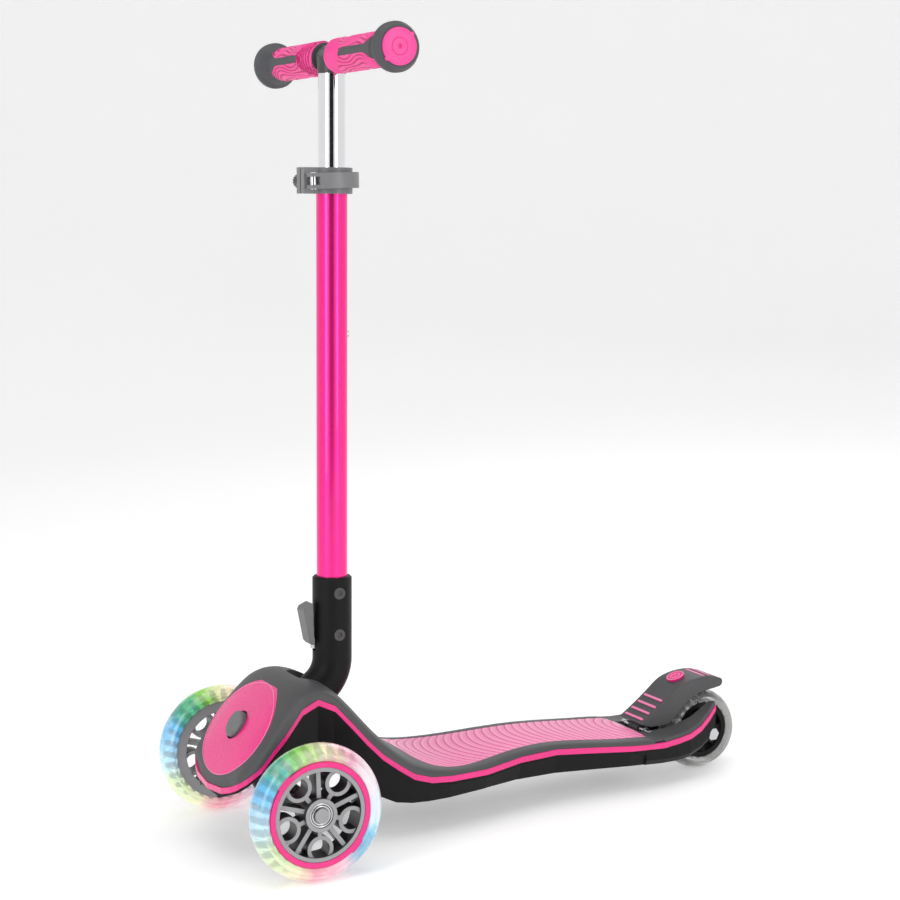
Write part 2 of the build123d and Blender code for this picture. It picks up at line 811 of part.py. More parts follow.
with BuildPart() as brake_spring:
    for side in (1, -1):
        with BuildSketch(Plane.YZ.offset(side * 9)):
            with Locations((brake_pin_y, brake_pin_z)):
                Circle(3.4)
                Circle(brake_pin_r + 0.3, mode=Mode.SUBTRACT)
        extrude(amount=side * 8)
write(brake_spring, "brake_spring")

# ---------------------------------------------------------------- neck
column_at_bend_y = column_y(neck_bend_z)
column_down = (-sin(radians(rake)), -cos(radians(rake)))
neck_bore_top = outer_tube_bottom - 1
stem_z = 173.0
with BuildPart() as neck:
    with BuildLine(Plane.YZ):
        straight = Line((column_y(neck_top), neck_top), (column_at_bend_y, neck_bend_z))
        neck_arc = JernArc(
            start=straight @ 1, tangent=column_down, radius=neck_bend_r, arc_size=-neck_bend_angle
        )
        Line(neck_arc @ 1, neck_arc @ 1 + (neck_arc % 1) * 14)
    with BuildSketch(column_plane(neck_top)):
        Circle(neck_r)
    sweep()
    chamfer(neck.faces().sort_by(Axis.Z)[-1].edges(), neck_rim)
    with BuildSketch(Plane.YZ.offset(-fold_boss_half)):
        with Locations((fold_y, fold_z)):
            Circle(fold_boss_r)
    extrude(amount=2 * fold_boss_half)
    with BuildSketch(column_plane(neck_top + 5)):
        Circle(outer_tube_r + 0.05)
    extrude(amount=-(neck_top + 5 - neck_bore_top), mode=Mode.SUBTRACT)
    with BuildSketch(Plane.YZ.offset(-fold_boss_r - 6)):
        with Locations((fold_y, fold_z)):
            Circle(fold_pin_r + running_gap)
    extrude(amount=2 * fold_boss_r + 12, mode=Mode.SUBTRACT)
    # Room for the latch plate and for the latch bar above it.
    with BuildSketch(Plane.YZ.offset(-latch_plate_half - 0.5)):
        with Locations((fold_y, fold_z)):
            Circle(latch_plate_r + 0.4)
        with Locations((fold_y + 18, fold_z + 17.5)):
            Rectangle(26, 27)
        with Locations((column_at_bend_y - 3, neck_bend_z + 4)):
            Rectangle(22, 28)
        with Locations((column_at_bend_y - neck_r, stem_z + 4)):
            Rectangle(16, 13)
    extrude(amount=2 * latch_plate_half + 1, mode=Mode.SUBTRACT)
    # The seats of the two side bolts.
    for bolt_z in (224.0, 186.0):
        with BuildSketch(Plane.YZ.offset(-neck_r - 1)):
            with Locations((column_y(bolt_z), bolt_z)):
                Circle(3.02)
        extrude(amount=2 * neck_r + 2, mode=Mode.SUBTRACT)
        for side in (1, -1):
            with BuildSketch(Plane.YZ.offset(side * (neck_r - 2.6))):
                with Locations((column_y(bolt_z), bolt_z)):
                    Circle(5.6)
            extrude(amount=side * 5, mode=Mode.SUBTRACT)
write(neck, "neck")

with BuildPart() as neck_bolts:
    for bolt_z in (224.0, 186.0):
        with BuildSketch(Plane.YZ.offset(-neck_r + 2)):
            with Locations((column_y(bolt_z), bolt_z)):
                Circle(3)
        extrude(amount=2 * (neck_r - 2))
        for side in (1, -1):
            with BuildSketch(Plane.YZ.offset(side * (neck_r - 2.5))):
                with Locations((column_y(bolt_z), bolt_z)):
                    Circle(5.4)
            extrude(amount=side * 2.2)
            with BuildSketch(Plane.YZ.offset(side * (neck_r - 1.4))):
                with Locations((column_y(bolt_z), bolt_z)):
                    RegularPolygon(2.4, 6)
            extrude(amount=side * 2, mode=Mode.SUBTRACT)
write(neck_bolts, "neck_bolts")

# ---------------------------------------------------------------- outer tube and its bush
height_button_z, height_button_r, height_hole_pitch = 456.0, 3.0, 50.0
with BuildPart() as outer_tube:
    with BuildSketch(column_plane(outer_tube_bottom)):
        Circle(outer_tube_r)
        Circle(outer_tube_r - outer_tube_wall, mode=Mode.SUBTRACT)
    extrude(amount=outer_tube_top - outer_tube_bottom)
    for bolt_z in (224.0, 186.0):
        with BuildSketch(Plane.YZ.offset(-20)):
            with Locations((column_y(bolt_z), bolt_z)):
                Circle(3.02)
        extrude(amount=40, mode=Mode.SUBTRACT)
    with BuildSketch(Plane.XZ.offset(-column_y(height_button_z))):
        with Locations((0, height_button_z)):
            Circle(height_button_r + running_gap)
    extrude(amount=-20, mode=Mode.SUBTRACT)
write(outer_tube, "outer_tube")

with BuildPart() as tube_bush:
    with BuildSketch(column_plane(outer_tube_top - 30)):
        Circle(outer_tube_r - outer_tube_wall - 0.01)
        Circle(inner_tube_r + running_gap, mode=Mode.SUBTRACT)
    extrude(amount=30.2)
    with BuildSketch(column_plane(outer_tube_top + 0.1)):
        Circle(outer_tube_r)
        Circle(inner_tube_r + running_gap, mode=Mode.SUBTRACT)
    extrude(amount=2)
write(tube_bush, "tube_bush")

with BuildPart() as height_button:
    with BuildSketch(Plane.XZ.offset(-column_y(height_button_z) - inner_tube_r - 0.7)):
        with Locations((0, height_button_z)):
            Circle(height_button_r)
    extrude(amount=-3.6)
    chamfer(height_button.faces().sort_by(Axis.Y)[-1].edges(), 0.7)
write(height_button, "height_button")

# ---------------------------------------------------------------- clamp
clamp_bottom, clamp_top, clamp_bolt_y_offset, clamp_r = 581.0, 604.0, -24.0, 18.5
clamp_middle = (clamp_bottom + clamp_top) / 2
clamp_bolt_y = column_y(clamp_middle) + clamp_bolt_y_offset
with BuildPart() as clamp_collar:
    with BuildSketch(column_plane(clamp_bottom)):
        Circle(clamp_r)
        with Locations((0, clamp_bolt_y_offset + 8)):
            Rectangle(17, 28)
        Circle(outer_tube_r + 0.05, mode=Mode.SUBTRACT)
        with Locations((0, clamp_bolt_y_offset)):
            Rectangle(2, 30, mode=Mode.SUBTRACT)
    extrude(amount=clamp_top - clamp_bottom)
    with BuildSketch(column_plane(outer_tube_top + 2.3)):
        Circle(clamp_r)
        Circle(inner_tube_r + body_gap, mode=Mode.SUBTRACT)
        with Locations((0, clamp_bolt_y_offset)):
            Rectangle(2, 30, mode=Mode.SUBTRACT)
    extrude(amount=clamp_top - outer_tube_top - 2.3)
    with BuildSketch(Plane.YZ.offset(-20)):
        with Locations((clamp_bolt_y, clamp_middle)):
            Circle(3.05)
    extrude(amount=40, mode=Mode.SUBTRACT)
write(clamp_collar, "clamp_collar")

lever_pivot_x = 15.5
lever_plane = Plane(
    origin=(lever_pivot_x, clamp_bolt_y, clamp_middle - 7), x_dir=(1, 0, 0), z_dir=(0, 0, 1)
)
with BuildPart() as clamp_bolt:
    with BuildSketch(Plane.YZ.offset(-19)):
        with Locations((clamp_bolt_y, clamp_middle)):
            Circle(2.95)
    extrude(amount=19 + lever_pivot_x)
    with BuildSketch(lever_plane.offset(-0.4)):
        Circle(3)
    extrude(amount=14.8)
write(clamp_bolt, "clamp_bolt")

with BuildPart() as clamp_nut:
    with BuildSketch(Plane.YZ.offset(-8.7)):
        with Locations((clamp_bolt_y, clamp_middle)):
            Circle(6.5)
            Circle(3.05, mode=Mode.SUBTRACT)
            with PolarLocations(6.5, 16):
                Circle(0.6, mode=Mode.SUBTRACT)
    extrude(amount=-8)
write(clamp_nut, "clamp_nut")

with BuildPart() as clamp_lever:
    with BuildSketch(lever_plane):
        Circle(6)
        with BuildLine():
            near = Spline((5.0, -3.4), (9.0, 10.0), (10.5, 26.0), (5.0, 38.0), (-2.0, 44.5))
            far = Spline((-5.0, 42.0), (1.5, 34.5), (5.8, 24.5), (4.4, 12.0), (0.0, 5.9))
            Line(near @ 1, far @ 0)
            Line(far @ 1, near @ 0)
        make_face()
        Circle(3 + running_gap, mode=Mode.SUBTRACT)
    extrude(amount=14)
    with BuildSketch(Plane.YZ.offset(lever_pivot_x - 7)):
        with Locations((clamp_bolt_y, clamp_middle)):
            Rectangle(14.5, 7)
    extrude(amount=9, mode=Mode.SUBTRACT)
    with Locations((lever_pivot_x, clamp_bolt_y - 2.2, clamp_middle)):
        Box(15, 11.6, 7, mode=Mode.SUBTRACT)
write(clamp_lever, "clamp_lever")

# ---------------------------------------------------------------- fold button and latch
button_low_z, button_high_z, button_half_width, button_travel = 178.0, 215.5, 8.0, 3.0
front_face_y = column_y(196) - neck_r
with BuildPart() as fold_button:
    with BuildSketch(Plane.YZ.offset(-button_half_width)):
        with BuildLine():
            Polyline(
                (front_face_y - 3.6, button_high_z),
                (front_face_y - 11.0, button_high_z - 3.0),
                (front_face_y - 12.8, button_high_z - 6.0),
                (front_face_y - 8.0, button_low_z + 3.0),
                (front_face_y - 6.0, button_low_z),
                (front_face_y - 3.6, button_low_z),
                close=True,
            )
        make_face()
    extrude(amount=2 * button_half_width)
write(fold_button, "fold_button")

# The stem passes through the neck's front wall under the outer tube's end, and the bar
# hangs from it inside the neck, down to the latch plate.
with BuildPart() as fold_latch:
    with BuildSketch(Plane.YZ.offset(-2)):
        with BuildLine():
            Polyline(
                (front_face_y - 3.3, stem_z + 10),
                (front_face_y - 3.3, stem_z),
                (column_at_bend_y - 8, stem_z),
                (column_at_bend_y - 8, neck_bend_z - 4),
                (fold_y + 12.6, fold_z + 19),
                (fold_y + 10.6, fold_z + 9.6),
                (fold_y + 14.0, fold_z + 9.6),
                (fold_y + 16.2, fold_z + 17),
                (column_at_bend_y - 4.5, neck_bend_z - 5),
                (column_at_bend_y - 4.5, stem_z + 3.5),
                (front_face_y - 0.4, stem_z + 3.5),
                (front_face_y - 0.4, stem_z + 10),
                close=True,
            )
        make_face()
    extrude(amount=4)
write(fold_latch, "fold_latch")

with BuildPart() as fold_button_spring:
    for z in (190.0, 203.0):
        with BuildSketch(Plane.XZ.offset(-front_face_y + 0.3)):
            with Locations((0, z)):
                Circle(3.2)
                Circle(2.2, mode=Mode.SUBTRACT)
        extrude(amount=3.0)
write(fold_button_spring, "fold_button_spring")

# ---------------------------------------------------------------- T-bar
bar_y = column_y(bar_height)
with BuildPart() as inner_tube:
    with BuildSketch(column_plane(inner_tube_bottom)):
        Circle(inner_tube_r)
        Circle(inner_tube_r - inner_tube_wall, mode=Mode.SUBTRACT)
    extrude(amount=inner_tube_top - inner_tube_bottom)
    for step in (-1, 0, 1):
        hole_z = height_button_z + step * height_hole_pitch
        with BuildSketch(Plane.XZ.offset(-column_y(hole_z))):
            with Locations((0, hole_z)):
                Circle(height_button_r + 0.4)
        extrude(amount=-20, mode=Mode.SUBTRACT)
write(inner_tube, "inner_tube")

with BuildPart() as slide_bush:
    with BuildSketch(column_plane(inner_tube_bottom + 2)):
        Circle(outer_tube_r - outer_tube_wall - running_gap)
        Circle(inner_tube_r + 0.01, mode=Mode.SUBTRACT)
    extrude(amount=16)
write(slide_bush, "slide_bush")

with BuildPart() as snap_spring:
    spring_y = column_y(height_button_z)
    with BuildSketch(Plane.YZ.offset(-2.5)):
        with BuildLine():
            Polyline(
                (spring_y + 9.5, height_button_z + 3),
                (spring_y + 9.5, height_button_z - 3),
                (spring_y + 6.0, height_button_z - 3),
                (spring_y + 4.0, height_button_z - 38),
                (spring_y, height_button_z - 46),
                (spring_y - 4.0, height_button_z - 38),
                (spring_y - 8.0, height_button_z + 8),
                (spring_y - 7.0, height_button_z + 8),
                (spring_y - 3.0, height_button_z - 37),
                (spring_y, height_button_z - 44),
                (spring_y + 3.0, height_button_z - 37),
                (spring_y + 5.0, height_button_z + 3),
                close=True,
            )
        make_face()
    extrude(amount=5)
write(snap_spring, "snap_spring")

with BuildPart() as handlebar:
    with BuildSketch(Plane.YZ.offset(-bar_length / 2)):
        with Locations((bar_y, bar_height)):
            Circle(bar_r)
    extrude(amount=bar_length)
    with BuildSketch(column_plane(inner_tube_top + 0.1)):
        Circle(inner_tube_r + 0.8)
    extrude(amount=bar_height - inner_tube_top)
    with BuildSketch(column_plane(inner_tube_top - 10)):
        Circle(inner_tube_r - inner_tube_wall - 0.01)
    extrude(amount=14)
write(handlebar, "handlebar")

grip_plane = Plane(origin=(0, bar_y, bar_height), x_dir=(1, 0, 0), z_dir=(0, 0, 1))
grip_axis = Axis((0, bar_y, bar_height), (1, 0, 0))
grip_core_r = grip_r - 2.0
for side, label in ((1, "left"), (-1, "right")):
    with BuildPart() as grip:
        with BuildSketch(grip_plane):
            with BuildLine():
                Polyline(
                    (side * grip_end, flare_r - 3),
                    (side * (grip_end + 3), flare_r),
                    (side * (grip_end + 7), flare_r),
                    (side * (cap_end - 2), flare_r - 3),
                    (side * (cap_end - 2), 0),
                    (side * (bar_length / 2 + 0.1), 0),
                    (side * (bar_length / 2 + 0.1), bar_r + 0.01),
                    (side * grip_start, bar_r + 0.01),
                    (side * grip_start, grip_core_r),
                    (side * (grip_end - 8), grip_core_r),
                    (side * grip_end, flare_r - 3),
                )
            make_face()
        revolve(axis=grip_axis)
    write(grip, f"{label}_grip")

with BuildPart() as grip_pads:
    for side in (1, -1):
        with BuildSketch(grip_plane):
            with BuildLine():
                Polyline(
                    (side * (grip_start + 1), grip_core_r + 0.01),
                    (side * (grip_start + 2), grip_r),
                    (side * (grip_end - 18), grip_r),
                    (side * (grip_end - 14), grip_core_r + 0.01),
                    close=True,
                )
            make_face()
        revolve(axis=grip_axis)
write(grip_pads, "grip_pads")

with BuildPart() as end_discs:
    for side in (1, -1):
        with BuildSketch(Plane.YZ.offset(side * (cap_end - 1.9))):
            with Locations((bar_y, bar_height)):
                Circle(15.5)
        extrude(amount=side * 1.9)
write(end_discs, "end_discs")

# ---------------------------------------------------------------- steering lock
lock_travel = 3.5
with BuildPart() as lock_button:
    with BuildSketch(lock_plane.offset(-4)):
        Circle(lock_button_r)
    extrude(amount=8)
    chamfer(lock_button.faces().sort_by(Axis((0, 0, 0), nose_normal))[-1].edges(), 1.2)
write(lock_button, "lock_button")

with BuildPart() as lock_plunger:
    with BuildSketch(lock_plane.offset(-4.1)):
        Circle(3)
    extrude(amount=-8)
write(lock_plunger, "lock_plunger")

with BuildPart() as lock_spring:
    with BuildSketch(lock_plane.offset(-4.1)):
        Circle(6)
        Circle(4.6, mode=Mode.SUBTRACT)
    extrude(amount=-6)
write(lock_spring, "lock_spring")

# ---------------------------------------------------------------- chassis screws
with BuildPart() as chassis_screws:
    for x, y, seat_z in screw_seats:
        with BuildSketch(Plane.XY.offset(seat_z - 0.1)):
            with Locations((x, y)):
                Circle(3.6)
                RegularPolygon(1.8, 6, mode=Mode.SUBTRACT)
        extrude(amount=-2)
write(chassis_screws, "chassis_screws")
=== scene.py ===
import json
import math

import bmesh
import bpy
from mathutils import Matrix, Vector
from mathutils.bvhtree import BVHTree


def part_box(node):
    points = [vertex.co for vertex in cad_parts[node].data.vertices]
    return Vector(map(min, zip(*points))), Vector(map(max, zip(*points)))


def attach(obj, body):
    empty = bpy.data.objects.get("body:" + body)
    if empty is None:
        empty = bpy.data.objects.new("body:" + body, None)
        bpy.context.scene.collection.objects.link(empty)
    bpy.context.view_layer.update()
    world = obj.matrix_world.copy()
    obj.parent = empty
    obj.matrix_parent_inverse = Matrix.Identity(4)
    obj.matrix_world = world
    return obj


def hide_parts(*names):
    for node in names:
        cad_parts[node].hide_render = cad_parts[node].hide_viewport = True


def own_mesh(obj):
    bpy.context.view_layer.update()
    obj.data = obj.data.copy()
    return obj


# A child's folding three-wheeled kick scooter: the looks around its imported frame.
# Metres, X to the rider's left, Y to the rear, Z up.

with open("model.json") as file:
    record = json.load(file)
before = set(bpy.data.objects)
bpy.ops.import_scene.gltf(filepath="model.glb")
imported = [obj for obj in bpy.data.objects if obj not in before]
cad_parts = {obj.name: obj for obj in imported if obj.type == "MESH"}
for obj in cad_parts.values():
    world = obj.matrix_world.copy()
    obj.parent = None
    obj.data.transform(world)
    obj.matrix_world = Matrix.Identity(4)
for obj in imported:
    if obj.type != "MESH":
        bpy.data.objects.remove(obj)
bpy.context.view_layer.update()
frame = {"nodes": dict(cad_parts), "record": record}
nodes = frame["nodes"]
mm = 0.001


def centre(node):
    """The middle of a CAD node's box."""
    low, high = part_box(node)
    return [(a + b) / 2 for a, b in zip(low, high)]


# ---------------------------------------------------------------- materials
def blank(name):
    """A new material with its node tree and Principled shader."""
    made = bpy.data.materials.new(name)
    made.use_nodes = True
    tree = made.node_tree
    shader = tree.nodes["Principled BSDF"]
    return made, tree, shader


def node(tree, kind, **settings):
    """A new node with its plain settings and unlinked inputs set."""
    made = tree.nodes.new(kind)
    for key, value in settings.items():
        if hasattr(made, key):
            setattr(made, key, value)
        else:
            made.inputs[key.replace("_", " ")].default_value = value
    return made


def sum_of(tree, first, second, operation="ADD"):
    """The output of a Math node over two sockets or numbers."""
    maths = tree.nodes.new("ShaderNodeMath")
    maths.operation = operation
    for socket, value in zip(maths.inputs, (first, second)):
        if isinstance(value, (int, float)):
            socket.default_value = value
        else:
            tree.links.new(value, socket)
    return maths.outputs[0]


def object_coordinates(tree, stretch=(1, 1, 1)):
    """Object coordinates, scaled by stretch."""
    place = tree.nodes.new("ShaderNodeTexCoord")
    mapping = tree.nodes.new("ShaderNodeMapping")
    mapping.inputs["Scale"].default_value = stretch
    tree.links.new(place.outputs["Object"], mapping.inputs["Vector"])
    return mapping.outputs["Vector"]


def mixed(tree, factor, first, second):
    """A colour mix; each colour is a tuple or a socket."""
    mix = tree.nodes.new("ShaderNodeMix")
    mix.data_type = "RGBA"
    if isinstance(factor, (int, float)):
        mix.inputs["Factor"].default_value = factor
    else:
        tree.links.new(factor, mix.inputs["Factor"])
    for socket, colour in zip((mix.inputs[6], mix.inputs[7]), (first, second)):
        if isinstance(colour, tuple):
            socket.default_value = (*colour[:3], 1)
        else:
            tree.links.new(colour, socket)
    return mix.outputs[2]


def soften(tree, shader, height, strength, distance, edge=0.5 * mm):
    """Bump from a height socket over normals rounded at the edges."""
    rounded = tree.nodes.new("ShaderNodeBevel")
    rounded.samples = 4
    rounded.inputs["Radius"].default_value = edge
    bump = tree.nodes.new("ShaderNodeBump")
    bump.inputs["Strength"].default_value = strength
    bump.inputs["Distance"].default_value = distance
    tree.links.new(height, bump.inputs["Height"])
    tree.links.new(rounded.outputs[0], bump.inputs["Normal"])
    tree.links.new(bump.outputs[0], shader.inputs["Normal"])


def moulded(
    name, colour, roughness, grain=900.0, depth=0.05, metallic=0.0, coat=0.0, edge=0.5 * mm,
    stretch=(1, 1, 1), spread=0.12, specular=0.5,
):
    """A moulded, cast or plated surface: fine grain, soft colour variation and rounded edges."""
    made, tree, shader = blank(name)
    at = object_coordinates(tree, stretch)
    fine = node(tree, "ShaderNodeTexNoise", Scale=grain, Detail=4.0, Roughness=0.6)
    broad = node(tree, "ShaderNodeTexNoise", Scale=28.0, Detail=3.0)
    tree.links.new(at, fine.inputs["Vector"])
    tree.links.new(at, broad.inputs["Vector"])
    darker = tuple(c * (1 - spread) for c in colour)
    lighter = tuple(min(1.0, c * (1 + spread)) for c in colour)
    tree.links.new(mixed(tree, broad.outputs[0], darker, lighter), shader.inputs["Base Color"])
    spans = node(
        tree, "ShaderNodeMapRange", To_Min=max(0.02, roughness - 0.06), To_Max=roughness + 0.06
    )
    tree.links.new(fine.outputs[0], spans.inputs["Value"])
    tree.links.new(spans.outputs[0], shader.inputs["Roughness"])
    shader.inputs["Metallic"].default_value = metallic
    shader.inputs["Coat Weight"].default_value = coat
    shader.inputs["Specular IOR Level"].default_value = specular
    soften(tree, shader, fine.outputs[0], depth, 0.3 * mm, edge)
    return made


PINK = (0.78, 0.011, 0.210)
PALE_PINK = (0.93, 0.22, 0.46)
# GROOVE_SHADE_PINK is painted shade for the deck pad's grooves.
GROOVE_SHADE_PINK = (0.50, 0.006, 0.14)
GREY = (0.078, 0.078, 0.081)
DARK = (0.0085, 0.008, 0.0085)

looks = {
    "black_nylon": moulded(
        "black_nylon", DARK, 0.42, grain=700, depth=0.10, edge=0.8 * mm, specular=0.13
    ),
    "grey_shell": moulded(
        "grey_shell", GREY, 0.46, grain=1400, depth=0.12, edge=1.0 * mm, specular=0.25
    ),
    "pink_plastic": moulded("pink_plastic", PINK, 0.26, grain=1200, depth=0.04, coat=0.3),
    "chrome": moulded(
        "chrome", (0.82, 0.82, 0.84), 0.08, grain=160, depth=0.01, metallic=1.0, spread=0.03
    ),
    "steel": moulded("steel", (0.56, 0.56, 0.58), 0.26, grain=500, depth=0.06, metallic=1.0),
    "black_steel": moulded("black_steel", (0.055, 0.053, 0.052), 0.34, grain=900, metallic=0.2),
    "dark_grey_plastic": moulded("dark_grey_plastic", (0.17, 0.17, 0.175), 0.34, depth=0.12),
    "grey_button": moulded("grey_button", (0.13, 0.13, 0.134), 0.40, depth=0.12, edge=1.0 * mm),
    "cap_metal": moulded("cap_metal", (0.34, 0.34, 0.35), 0.30, grain=500, metallic=1.0),
    "rubber": moulded("rubber", (0.03, 0.03, 0.03), 0.6, grain=600, depth=0.2),
    "dark_rubber": moulded("dark_rubber", (0.060, 0.062, 0.068), 0.55, grain=700, depth=0.25),
    "pink_rubber": moulded("pink_rubber", (0.86, 0.055, 0.30), 0.42, grain=1100, depth=0.12),
    # deep_rubber is painted shade, a deep pink laid in the grips' grooves.
    "deep_rubber": moulded("deep_rubber", (0.46, 0.006, 0.12), 0.50, grain=1100, depth=0.12),
    "light_board": moulded("light_board", (0.75, 0.80, 0.75), 0.4),
}


# Bright anodised aluminium, faintly drawn along the column.
looks["pink_anodised"] = moulded(
    "pink_anodised", (0.95, 0.020, 0.27), 0.24, grain=900, depth=0.03, metallic=0.75, coat=0.35,
    stretch=(1, 1, 0.02), spread=0.06,
)


def pad_with_painted_shade_and_highlight(name):
    """The deck pad's pink, with painted shade deep in the grooves of its arcs and a painted
    highlight pale on their crests.
    """
    made, tree, shader = blank(name)
    attribute = node(tree, "ShaderNodeAttribute", attribute_name="height")
    at = object_coordinates(tree)
    fine = node(tree, "ShaderNodeTexNoise", Scale=1300.0, Detail=3.0)
    tree.links.new(at, fine.inputs["Vector"])
    ramp = tree.nodes.new("ShaderNodeValToRGB")
    stops = ramp.color_ramp.elements
    # Colour by rib height: painted shade in the grooves, plain pink between, a painted highlight on
    # the crests.
    stops[0].position, stops[0].color = 0.0, (*GROOVE_SHADE_PINK, 1)
    stops[1].position, stops[1].color = 1.0, (0.95, 0.27, 0.52, 1)
    middle = stops.new(0.35)
    middle.color = (*PINK, 1)
    tree.links.new(attribute.outputs["Fac"], ramp.inputs["Fac"])
    tree.links.new(ramp.outputs["Color"], shader.inputs["Base Color"])
    shader.inputs["Roughness"].default_value = 0.36
    shader.inputs["Coat Weight"].default_value = 0.2
    bump = tree.nodes.new("ShaderNodeBump")
    bump.inputs["Strength"].default_value = 0.10
    bump.inputs["Distance"].default_value = 0.2 * mm
    tree.links.new(fine.outputs[0], bump.inputs["Height"])
    tree.links.new(bump.outputs[0], shader.inputs["Normal"])
    return made


looks["pink_pad"] = pad_with_painted_shade_and_highlight("pink_pad")
looks["pink_ribs"] = moulded("pink_ribs", PALE_PINK, 0.35)

# The lamp colours round a wheel, as turns of a full circle from the rear, upwards.
LAMP_COLOURS = [
    (0.00, (0.80, 0.88, 0.97)),
    (0.08, (0.96, 0.90, 0.93)),
    (0.17, (0.98, 0.45, 0.60)),
    (0.23, (0.96, 0.96, 0.62)),
    (0.30, (0.30, 0.72, 0.12)),
    (0.37, (0.12, 0.55, 0.38)),
    (0.43, (0.16, 0.55, 0.90)),
    (0.52, (0.62, 0.86, 0.99)),
    (0.60, (0.78, 0.92, 0.55)),
    (0.67, (0.96, 0.98, 0.66)),
    (0.74, (0.98, 0.42, 0.52)),
    (0.82, (0.98, 0.72, 0.80)),
    (0.90, (0.20, 0.62, 0.86)),
    (0.96, (0.72, 0.90, 0.98)),
]


def turned_colours(tree, hub, streak):
    """The lamp colours by the angle about a hub, blurred by streaks of noise."""
    at = object_coordinates(tree)
    split = tree.nodes.new("ShaderNodeSeparateXYZ")
    tree.links.new(at, split.inputs[0])
    rear = sum_of(tree, split.outputs["Y"], hub[1], "SUBTRACT")
    rise = sum_of(tree, split.outputs["Z"], hub[2], "SUBTRACT")
    angle = sum_of(tree, sum_of(tree, rise, rear, "ARCTAN2"), 2 * math.pi, "DIVIDE")
    noise = node(tree, "ShaderNodeTexNoise", Scale=streak, Detail=3.0)
    tree.links.new(at, noise.inputs["Vector"])
    shift = sum_of(tree, sum_of(tree, noise.outputs[0], 0.5, "SUBTRACT"), 0.16, "MULTIPLY")
    turn = sum_of(tree, sum_of(tree, angle, shift), 1.0)
    fraction = sum_of(tree, turn, 1.0, "MODULO")
    ramp = tree.nodes.new("ShaderNodeValToRGB")
    stops = ramp.color_ramp.elements
    stops[0].position, stops[0].color = LAMP_COLOURS[0][0], (*LAMP_COLOURS[0][1], 1)
    stops[1].position, stops[1].color = 1.0, (*LAMP_COLOURS[0][1], 1)
    for position, colour in LAMP_COLOURS[1:]:
        stops.new(position).color = (*colour, 1)
    tree.links.new(fraction, ramp.inputs["Fac"])
    return ramp.outputs["Color"], at


def lit_tyre(name, hub):
    """Clear polyurethane glowing in the colours of the lamps cast inside it."""
    made, tree, shader = blank(name)
    colour, at = turned_colours(tree, hub, 45.0)
    streaks = node(tree, "ShaderNodeTexNoise", Scale=70.0, Detail=2.0)
    tree.links.new(at, streaks.inputs["Vector"])
    whitened = node(tree, "ShaderNodeMapRange", From_Min=0.52, From_Max=0.75, To_Max=0.45)
    tree.links.new(streaks.outputs[0], whitened.inputs["Value"])
    tinted = mixed(tree, whitened.outputs[0], colour, (0.97, 0.98, 0.99))
    tree.links.new(tinted, shader.inputs["Base Color"])
    tree.links.new(tinted, shader.inputs["Emission Color"])
    shader.inputs["Emission Strength"].default_value = 0.14
    shader.inputs["Transmission Weight"].default_value = 0.55
    shader.inputs["Roughness"].default_value = 0.16
    shader.inputs["IOR"].default_value = 1.45
    shader.inputs["Coat Weight"].default_value = 0.6
    shader.inputs["Coat Roughness"].default_value = 0.06
    return made


def clear_rear_tyre(name):
    """Milky clear polyurethane with faint clouds."""
    made, tree, shader = blank(name)
    at = object_coordinates(tree)
    cloud = node(tree, "ShaderNodeTexNoise", Scale=60.0, Detail=3.0)
    tree.links.new(at, cloud.inputs["Vector"])
    tinted = mixed(tree, cloud.outputs[0], (0.50, 0.50, 0.48), (0.74, 0.75, 0.74))
    tree.links.new(tinted, shader.inputs["Base Color"])
    shader.inputs["Transmission Weight"].default_value = 0.72
    shader.inputs["Roughness"].default_value = 0.18
    shader.inputs["IOR"].default_value = 1.42
    shader.inputs["Coat Weight"].default_value = 0.4
    return made


def rim_with_painted_wall_shade(name, pale, dark):
    """Moulded nylon that is pale on its faces, with painted shade dark on the walls between them,
    set by which way each face turns.
    """
    made, tree, shader = blank(name)
    place = tree.nodes.new("ShaderNodeTexCoord")
    split = tree.nodes.new("ShaderNodeSeparateXYZ")
    tree.links.new(place.outputs["Normal"], split.inputs[0])
    # Faces turned along the axle keep the pale colour; the walls between them get the dark colour as
    # painted shade.
    facing_shade_mix = sum_of(tree, sum_of(tree, split.outputs["X"], 0.0, "ABSOLUTE"), 2.0, "POWER")
    tree.links.new(mixed(tree, facing_shade_mix, dark, pale), shader.inputs["Base Color"])
    shader.inputs["Roughness"].default_value = 0.34
    fine = node(tree, "ShaderNodeTexNoise", Scale=900.0, Detail=3.0)
    tree.links.new(place.outputs["Object"], fine.inputs["Vector"])
    soften(tree, shader, fine.outputs[0], 0.08, 0.3 * mm, 0.7 * mm)
    return made


looks["grey_rim"] = rim_with_painted_wall_shade("grey_rim", (0.30, 0.30, 0.31), (0.028, 0.028, 0.030))
looks["rear_polyurethane"] = clear_rear_tyre("rear_polyurethane")


def dress(name, look):
    """Gives a CAD node its material."""
    nodes[name].data.materials.clear()
    nodes[name].data.materials.append(look)


for part in frame["record"]["subparts"]:
    if part["material_slot"] in looks:
        dress(part["node"], looks[part["material_slot"]])
for side in ("left", "right"):
    dress(f"{side}_tyre", lit_tyre(f"{side}_lit_tyre", centre(f"{side}_tyre")))
dress("brake_ribs", looks["pink_ribs"])
dress("brake_badge", looks["pink_plastic"])
dress("axle_caps", looks["cap_metal"])


# ---------------------------------------------------------------- mesh helpers
def mesh_piece(name, points, faces, look, body, smooth=True):
    """A new mesh object that rides on a CAD body."""
    mesh = bpy.data.meshes.new(name)
    mesh.from_pydata([tuple(p) for p in points], [], faces)
    solid = bmesh.new()
    solid.from_mesh(mesh)
    bmesh.ops.remove_doubles(solid, verts=solid.verts, dist=1e-7)
    bmesh.ops.recalc_face_normals(solid, faces=solid.faces)
    solid.to_mesh(mesh)
    solid.free()
    for face in mesh.polygons:
        face.use_smooth = smooth
    mesh.materials.append(look)
    made = bpy.data.objects.new(name, mesh)
    bpy.context.scene.collection.objects.link(made)
    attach(made, body)
    return made


